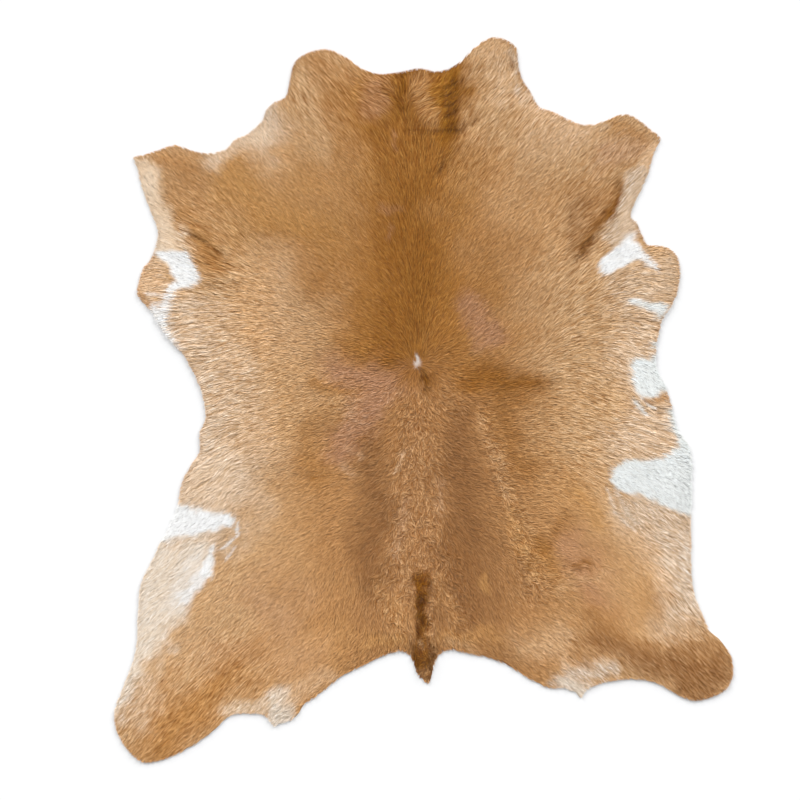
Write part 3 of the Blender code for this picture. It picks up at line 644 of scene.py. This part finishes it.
def edge_loop(mesh):
    """The outline of the flat underside, as points in order round the hide."""
    shape = welded(mesh)
    under = {face for face in shape.faces if all(vert.co.z < FLAT for vert in face.verts)}
    following = {}
    for face in under:
        for loop in face.loops:
            if any(other not in under for other in loop.edge.link_faces):
                following[loop.vert.index] = loop.link_loop_next.vert.index
    shape.verts.ensure_lookup_table()
    start = next(iter(following))
    order = [start]
    while following[order[-1]] != start:
        order.append(following[order[-1]])
    points = np.array([shape.verts[index].co[:2] for index in order])
    shape.free()
    return points


def within_edge(x, y, edge):
    """How far each place lies inside the outline, below 0 where it lies outside."""
    nearest = np.full(len(x), np.inf)
    inside = np.zeros(len(x), bool)
    for (ax, ay), (bx, by) in zip(edge, np.roll(edge, -1, axis=0)):
        along_x, along_y = bx - ax, by - ay
        part = ((x - ax) * along_x + (y - ay) * along_y) / (along_x**2 + along_y**2)
        part = np.clip(part, 0.0, 1.0)
        nearest = np.minimum(nearest, (x - ax - part * along_x) ** 2 + (y - ay - part * along_y) ** 2)
        if along_y:
            inside ^= ((ay > y) != (by > y)) & (x < along_x * (y - ay) / along_y + ax)
    return np.sqrt(nearest) * np.where(inside, 1.0, -1.0)


def way_inward(x, y, inward):
    """Unit steps straight away from the cut edge, for a function that gives the distance inside it."""
    east = inward(x + EDGE_STEP, y) - inward(x - EDGE_STEP, y)
    north = inward(x, y + EDGE_STEP) - inward(x, y - EDGE_STEP)
    return np.array([east, north]) / (np.hypot(east, north) + TINY)


class Raster:
    """Values on a fine grid over the hide, read between its points."""

    def __init__(self, values_at, step=0.0035, margin=0.05):
        self.step = step
        self.low = np.array(cad_low)[:2] - margin
        high = np.array(cad_high)[:2] + margin
        self.shape = np.ceil((high - self.low) / step).astype(int) + 1
        column, row = np.meshgrid(np.arange(self.shape[0]), np.arange(self.shape[1]), indexing="ij")
        values = values_at(self.low[0] + column.ravel() * step, self.low[1] + row.ravel() * step)
        self.values = values.reshape(*self.shape, *values.shape[1:])

    def __call__(self, x, y):
        column = np.clip((x - self.low[0]) / self.step, 0, self.shape[0] - 1.001)
        row = np.clip((y - self.low[1]) / self.step, 0, self.shape[1] - 1.001)
        left, under = column.astype(int), row.astype(int)
        right, up = column - left, row - under
        if self.values.ndim > 2:
            right, up = right[:, None], up[:, None]
        low, high = (
            self.values[left, line] * (1 - right) + self.values[left + 1, line] * right
            for line in (under, under + 1)
        )
        return low * (1 - up) + high * up


def zone_raster(kind):
    """The strongest zone of one kind at each place."""

    def strongest(x, y):
        value = np.zeros(len(x))
        for zone in ZONES[kind]:
            value = np.maximum(value, zone.value * cover(zone, column_of(x), row_of(y)))
        return value

    return Raster(strongest)


def solid_height(mesh):
    """A function that gives the height of the CAD solid's hair side at each place."""
    tree = BVHTree.FromPolygons(
        [vert.co for vert in mesh.vertices], [tuple(face.vertices) for face in mesh.polygons]
    )
    down = Vector((0, 0, -1))

    def heights(x, y):
        found = np.zeros(len(x))
        for index, (across, along) in enumerate(zip(x, y)):
            place = tree.ray_cast(Vector((across, along, 1.0)), down)[0]
            found[index] = place.z if place is not None else 0.0
        return found

    return heights


def make_stream(shag_at, frizz_at, crisp_at):
    """The hair's own lines over the hide, as unit steps in the complex plane: east and i times north."""

    def steps(x, y):
        shag, frizz = shag_at(x, y), frizz_at(x, y)
        felt = np.clip(1.0 - 0.8 * crisp_at(x, y) - 0.6 * shag, 0.0, 1.0) * 0.35 * mottle(x, y, *FELT)
        wave = mottle(x, y, *WAVE) * (0.12 + 0.12 * shag) + mottle(x, y, *RIPPLE) * (0.06 + 0.24 * shag)
        curl = frizz * (1.3 * mottle(x, y, *CURL) + 0.9 * mottle(x, y, *SMALL_CURL))
        return np.exp(1j * (hair_heading(x, y) + wave + curl + felt))

    return Raster(steps)


def follow(x, y, stream, distance):
    """The places reached by going along the hair for the given distance."""
    flow = stream(x, y)
    flow = flow / np.maximum(np.abs(flow), TINY)
    return np.array([x + flow.real * distance, y + flow.imag * distance])


def strand_noise(places, stream, width, steps, stretch=1.0):
    """Random values that stay alike along the hair and change across it, with a spread of about 1."""
    total = mottle(*places, *width)
    for distance in (width.size * stretch, -width.size * stretch):
        there = places
        for _ in range(steps):
            there = follow(*there, stream, distance)
            total = total + mottle(*there, *width)
    return total / total.std()


def add_node(tree, kind, constants=()):
    """A node with constants on its own sockets."""
    node = tree.nodes.new("ShaderNode" + kind)
    for socket, value in dict(constants).items():
        node.inputs[socket].default_value = value
    return node


def start_material(name, rough, specular=0.5):
    """A new material, its tree of nodes and its shader."""
    material = bpy.data.materials.new(name)
    material.use_nodes = True
    tree = material.node_tree
    shader = tree.nodes["Principled BSDF"]
    shader.inputs["Roughness"].default_value = rough
    shader.inputs["Specular IOR Level"].default_value = specular
    return material, tree, shader


def held_values(tree, name):
    """What the mesh's points hold under a name."""
    node = add_node(tree, "Attribute")
    node.attribute_name = name
    return node


def add_noise(tree, place, scale, detail):
    """Noise over a place, which is a socket."""
    node = add_node(tree, "TexNoise", {"Scale": scale, "Detail": detail})
    tree.links.new(place, node.inputs["Vector"])
    return node.outputs["Fac"]


def add_bump(tree, shader, grain, strength, depth):
    """Fine relief that follows the grain."""
    bump = add_node(tree, "Bump", {"Strength": strength, "Distance": depth})
    tree.links.new(grain, bump.inputs["Height"])
    tree.links.new(bump.outputs["Normal"], shader.inputs["Normal"])


def add_coat(tree, shader, grain, grain_ends, shade_ends):
    """The coat's colour, which the points hold, with a shade that follows the grain."""
    ends = dict(zip(("From Min", "From Max", "To Min", "To Max"), (*grain_ends, *shade_ends)))
    shade = add_node(tree, "MapRange", ends)
    tree.links.new(grain, shade.inputs["Value"])
    tint = add_node(tree, "VectorMath")
    tint.operation = "SCALE"
    tree.links.new(held_values(tree, "coat").outputs["Color"], tint.inputs[0])
    tree.links.new(shade.outputs["Result"], tint.inputs["Scale"])
    tree.links.new(tint.outputs["Vector"], shader.inputs["Base Color"])


def hair_material():
    """Locks of hair, with fine strands along them."""
    material, tree, shader = start_material("cowhide hair", 0.48, 0.15)
    grain = add_noise(tree, held_values(tree, "strand").outputs["Vector"], 1.0, 2.0)
    add_coat(tree, shader, grain, (0.25, 0.75), (0.80, 1.16))
    material.diffuse_color = (*linear("tan"), 1.0)
    return material


def undercoat_material():
    """The dense hair close to the skin, seen between the locks."""
    material, tree, shader = start_material("undercoat", 0.8)
    grain = add_noise(tree, add_node(tree, "TexCoord").outputs["Object"], 420.0, 3.0)
    # the grain's shade stays below 1, so the undercoat is painted darker than the locks: painted shade deep
    # among the locks, with the grain's own variation
    add_coat(tree, shader, grain, (0.3, 0.7), (0.68, 0.92))
    add_bump(tree, shader, grain, 0.5, 0.0006)
    return material


def suede_material():
    """The flesh side and the cut edge: matt tanned leather with a fine nap."""
    material, tree, shader = start_material("suede", 0.9)
    place = add_node(tree, "TexCoord").outputs["Object"]
    ramp = add_node(tree, "ValToRGB")
    for end, position, colour in zip(ramp.color_ramp.elements, (0.3, 0.7), SUEDE_COLOURS):
        end.position = position
        end.color = colour
    tree.links.new(add_noise(tree, place, 9.0, 6.0), ramp.inputs["Fac"])
    tree.links.new(ramp.outputs["Color"], shader.inputs["Base Color"])
    add_bump(tree, shader, add_noise(tree, place, 900.0, 2.0), 0.4, 0.0003)
    return material


def colour_points(mesh, colours):
    """Gives each point of a mesh its colour of the coat."""
    layer = mesh.color_attributes.new("coat", "FLOAT_COLOR", "POINT")
    filled = np.ones((len(colours), 4), np.float32)
    filled[:, :3] = np.clip(colours, 0.0, 1.0)
    layer.data.foreach_set("color", filled.ravel())


def flat_map(mesh, places, margin=0.02):
    """A map of the hide seen from above, with the whole hide on one square."""
    low = np.array(cad_low)[:2] - margin
    side = float(max(np.array(cad_high)[:2] - np.array(cad_low)[:2])) + 2 * margin
    corners = np.empty(len(mesh.loops), np.int32)
    mesh.loops.foreach_get("vertex_index", corners)
    layer = mesh.uv_layers.new(name="OFBake")
    layer.uv.foreach_set("vector", ((places[:, :2] - low) / side)[corners].astype(np.float32).ravel())


def make_skin(node, edge, height):
    """The skin with its dense undercoat: a closed thin sheet that lies flat."""
    mesh = node.data.copy()
    mesh.name = "skin"
    shape = welded(mesh)
    top = [side for side in shape.edges if all(vert.co.z > FLAT for vert in side.verts)]
    bmesh.ops.subdivide_edges(shape, edges=top, cuts=1, use_grid_fill=True)
    bmesh.ops.triangulate(shape, faces=shape.faces)
    shape.to_mesh(mesh)
    shape.free()
    places = np.empty(len(mesh.vertices) * 3)
    mesh.vertices.foreach_get("co", places)
    places = places.reshape(-1, 3)
    x, y = places[:, 0].copy(), places[:, 1].copy()
    inset = SKIN_INSET * np.clip(1.0 - np.abs(within_edge(x, y, edge)) / INSET_BAND, 0.0, 1.0)
    places[:, :2] += (way_inward(x, y, lambda a, b: within_edge(a, b, edge)) * inset).T
    lowered = np.maximum(height(x, y) - PILE, LEAST_SKIN)
    places[:, 2] = np.where(places[:, 2] > FLAT, lowered, 0.0)
    mesh.vertices.foreach_set("co", places.ravel())
    mesh.update()
    colour_points(mesh, coat_colour(x, y))
    while mesh.uv_layers:
        mesh.uv_layers.remove(mesh.uv_layers[0])
    mesh.materials.clear()
    mesh.materials.append(undercoat_material())
    mesh.materials.append(suede_material())
    normals = np.empty(len(mesh.polygons) * 3)
    mesh.polygons.foreach_get("normal", normals)
    leather = (normals.reshape(-1, 3)[:, 2] < LEATHER_UP).astype(np.int32)
    mesh.polygons.foreach_set("material_index", leather)
    return add_piece("skin", mesh)


def liveliness(tone, calm):
    """How much the strands differ from each other: less where the hair is pale or lies smooth."""
    return (1.0 - 0.75 * smooth_step((tone.mean(axis=1) - PALE_FROM) / PALE_SPAN)) * (1.0 - 0.65 * calm)


def plant_locks(rng, inward):
    """The roots of the locks, spread evenly but not in rows, and clear of the cut edge."""
    low, high = np.array(cad_low)[:2], np.array(cad_high)[:2]
    columns, rows = ((high - low) / LOCK_SPACING).astype(int) + 1
    column, row = np.meshgrid(np.arange(columns), np.arange(rows), indexing="ij")
    x = low[0] + (column.ravel() + rng.uniform(0, 1, columns * rows)) * LOCK_SPACING
    y = low[1] + (row.ravel() + rng.uniform(0, 1, columns * rows)) * LOCK_SPACING
    return np.array([x, y])[:, inward(x, y) > ROOT_CLEAR]


def lock_shapes(edge, height):
    """The points of every lock and their colours. Plain numbers in its formulas are given shares."""
    rng = np.random.default_rng(LOCK_SEED)
    inward = Raster(lambda x, y: within_edge(x, y, edge))
    roots = plant_locks(rng, inward)
    count = roots.shape[1]
    shag_at, frizz_at, crisp_at = (zone_raster(kind) for kind in ("shag", "frizz", "crisp"))
    stream = make_stream(shag_at, frizz_at, crisp_at)
    calm = zone_raster("calm")(*roots)
    shag, frizz, crisp = shag_at(*roots) * (1 - calm), frizz_at(*roots), crisp_at(*roots)
    bold = 0.08 + 0.92 * shag

    # length and width, with short locks where one would lie over a crease
    length = LOCK_LENGTH * (PLAIN_LOCK + CRISP_LOCK * crisp + LONG_LOCK * shag - FRIZZ_LOCK * frizz)
    length = length * rng.uniform(*LENGTHS, count)
    width = LOCK_WIDTH * (1 + 0.25 * shag + 0.3 * frizz) * rng.uniform(*WIDTHS, count)
    ahead = follow(*roots, stream, length * 0.5)
    beyond = follow(*ahead, stream, length * 0.5)
    trim_at = zone_raster("trim")
    trim = np.max([trim_at(*places) for places in (roots, ahead, beyond)], axis=0)
    length = length * (1 - TRIM * trim)

    # along the hair, with tips that draw together into tufts
    middles = follow(*roots, stream, length * MIDDLE)
    tips = follow(*middles, stream, length * (1 - MIDDLE))
    stretch = 0.35 + 0.65 * np.maximum(np.maximum(crisp, shag), 0.8 * frizz)
    fine = strand_noise(middles, stream, FINE, 4, stretch)
    coarse = strand_noise(middles, stream, COARSE, 5)
    flow = stream(*tips)
    aside = np.array([-flow.imag, flow.real])
    left_side = strand_noise(tips + aside * GATHER_REACH, stream, COARSE, 4)
    right_side = strand_noise(tips - aside * GATHER_REACH, stream, COARSE, 4)
    drift = np.clip(left_side - right_side, -1.5, 1.5) * GATHER * bold
    tips = tips + aside * (drift + rng.normal(0, TIP_SCATTER, count) * (1 + 2.5 * frizz))

    # past the cut edge no further than the overhang, which is less where the hair runs along the edge
    flow = stream(*tips)
    facing = -(np.array([flow.real, flow.imag]) * way_inward(*tips, inward)).sum(axis=0)
    overhang = OVERHANG * np.clip(1.0 + (0.10 + 0.30 * shag) * coarse, 0.5, 1.8)
    overhang = overhang * (0.30 + 0.70 * np.clip(facing, 0.0, 1.0))
    for _ in range(OVERHANG_ROUNDS):
        over = np.clip(-inward(*tips) - overhang, 0.0, None)
        shrink = np.clip(1.0 - over / (np.hypot(*(tips - roots)) + TINY), 0.25, 1.0)
        tips = roots + (tips - roots) * shrink
        middles = roots + (middles - roots) * shrink
    reach = np.hypot(*(tips - roots)) + TINY
    along = (tips - roots) / reach
    half = np.array([-along[1], along[0]]) * width / 2

    # heights
    colour_at = Raster(coat_colour, COLOUR_STEP)
    lively = liveliness(colour_at(*middles), calm)
    layer = rng.uniform(0, 1, count)
    roll = rng.normal(0, 0.18, count) * lively * width / 2
    short = np.clip(reach / (LOCK_LENGTH * 0.8), 0.3, 1.0)
    rise = 0.55 + 0.32 * layer * (1 - 0.7 * calm) + 0.35 * frizz * layer
    rise = rise + lively * (0.10 * fine + 0.18 * bold * coarse)
    crest = PILE * np.clip(rise, 0.15, 1.7) * (1 + 0.25 * shag) * short
    crest_z = np.maximum(height(*middles) - PILE, LEAST_BASE) + crest
    side_z = crest_z - width * (0.22 - 0.14 * calm)
    droop = rng.uniform(0.4, 1.0, count)
    tip_z = np.maximum(height(*tips) - PILE, 0.0) + crest * (droop + (0.85 - droop) * calm)
    tip_z = np.where(inward(*tips) < EDGE_ZONE, rng.uniform(*EDGE_HAIR, count), tip_z)
    root_z = height(*roots) - PILE - ROOT_SUNK + 0.5 * crest * calm

    spots = (
        (roots - along * ROOT_BACK, root_z),
        (middles + half, side_z + roll),
        (middles, crest_z),
        (middles - half, side_z - roll),
        (tips, tip_z),
    )
    points = np.stack([np.stack([*places, np.maximum(z, FLOOR_CLEAR)], 1) for places, z in spots], 1)

    # colours: each lock's own tone at random, painted light on the upper locks and painted shade on the lower
    # ones, which lie under the others, its tuft's and its strands'
    own = 0.025 * rng.normal(0, 1, count) + 0.10 * (layer - 0.5)
    own = own + 0.12 * frizz * rng.normal(0.2, 0.7, count)
    slide = rng.normal(0, 0.7, count)
    settled = 1 - 0.7 * np.maximum(calm, trim)
    # painted shade in the gaps between tufts where the hair lies long, and tufts that stand higher painted
    # lighter
    painted_gap_shade = np.clip(-coarse - 0.9, 0.0, 1.5) * (0.02 + 0.16 * shag)
    wide = 0.045 * shag * coarse - painted_gap_shade
    contrast = 0.10 + 0.22 * crisp + 0.27 * frizz
    colours = np.empty(points.shape)
    for spot, shade in enumerate(ALONG_LOCK):
        places = points[:, spot, :2].T
        strand = strand_noise(places, stream, FINE, 4, stretch)
        tone = colour_at(*follow(*places, stream, FEATHER * (slide - 0.6 * strand) * settled))
        vary = 1.0 + liveliness(tone, calm) * (own + wide + contrast * strand)
        # painted light and shade at this point of the lock, evened out where the hair lies smooth
        painted_lock_shade = shade + (1.0 - shade) * 0.8 * calm
        colours[:, spot] = tone * np.clip(vary, *SHADE_LIMITS)[:, None] ** DEPTH * painted_lock_shade[:, None]
    return points, colours


def make_coat(points, colours):
    """The coat, in pieces from the rump to the neck."""
    order = np.argsort(points[:, 0, 1], kind="stable")
    material = hair_material()
    spots = len(ALONG_LOCK)
    coat = []
    for name, part in zip(COAT_NAMES, np.array_split(order, len(COAT_NAMES))):
        count = len(part)
        places = points[part].reshape(-1, 3)
        mesh = bpy.data.meshes.new(name)
        first = np.arange(count)[:, None, None] * spots
        faces = (first + LOCK_FACES[None]).reshape(-1, 3)
        mesh.vertices.add(len(places))
        mesh.vertices.foreach_set("co", places.astype(np.float32).ravel())
        mesh.loops.add(faces.size)
        mesh.loops.foreach_set("vertex_index", faces.astype(np.int32).ravel())
        mesh.polygons.add(len(faces))
        mesh.polygons.foreach_set("loop_start", np.arange(0, faces.size, 3, dtype=np.int32))
        mesh.update(calc_edges=True)
        mesh.validate()
        mesh.polygons.foreach_set("use_smooth", np.ones(len(mesh.polygons), bool))
        colour_points(mesh, colours[part].reshape(-1, 3))
        strand = mesh.attributes.new("strand", "FLOAT_VECTOR", "POINT")
        own = np.repeat(part * LOCK_OFFSET, spots)[:, None]
        places_on_lock = np.hstack([np.tile(LOCK_MAP, (count, 1)), own])
        strand.data.foreach_set("vector", places_on_lock.astype(np.float32).ravel())
        flat_map(mesh, places)
        mesh.materials.append(material)
        coat.append(add_piece(name, mesh))
    return coat


def make_floor():
    """A plain pale floor, much wider than the hide."""
    mesh = bpy.data.meshes.new("floor")
    shape = bmesh.new()
    bmesh.ops.create_grid(shape, x_segments=1, y_segments=1, size=FLOOR_HALF)
    shape.to_mesh(mesh)
    shape.free()
    material, _, shader = start_material("pale floor", 0.9, 0.1)
    shader.inputs["Base Color"].default_value = FLOOR_COLOUR
    mesh.materials.append(material)
    floor = add_piece("floor", mesh)


def make_studio():
    """Wide soft light from beyond the neck, an even fill, and the camera straight above."""
    world = bpy.data.worlds.new("studio")
    world.use_nodes = True
    world.node_tree.nodes["Background"].inputs["Color"].default_value = WHITE
    world.node_tree.nodes["Background"].inputs["Strength"].default_value = FILL
    bpy.context.scene.world = world
    for name, turn in zip(("right key", "left key"), KEY_TURNS):
        data = bpy.data.lights.new(name, "SUN")
        data.energy = KEY
        data.angle = radians(KEY_SPREAD)
        key = add_piece(name, data)
        flat = cos(radians(KEY_RISE))
        toward = Vector((flat * cos(radians(turn)), flat * sin(radians(turn)), sin(radians(KEY_RISE))))
        key.location = toward * KEY_AWAY
        key.rotation_euler = toward.to_track_quat("Z", "Y").to_euler()
    bpy.context.scene.view_settings.view_transform = "Standard"
    data = bpy.data.cameras.new("camera")
    data.lens = LENS
    data.sensor_width = SENSOR
    camera = add_piece("camera", data)
    middle_px = PHOTO_SIDE_PX / 2
    camera.location = (
        (middle_px - ORIGIN_X_PX) * PIXEL,
        (ORIGIN_Y_PX - middle_px) * PIXEL,
        middle_px * PIXEL / (SENSOR / 2 / LENS),
    )
    bpy.context.scene.camera = camera


def main():
    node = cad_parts["hide"]
    edge = edge_loop(node.data)
    height = Raster(solid_height(node.data))
    make_studio()
    make_floor()
    skin = make_skin(node, edge, height)
    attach(skin, "root")
    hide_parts("hide")
    coat = make_coat(*lock_shapes(edge, height))
    for piece in coat:
        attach(piece, "root")


main()
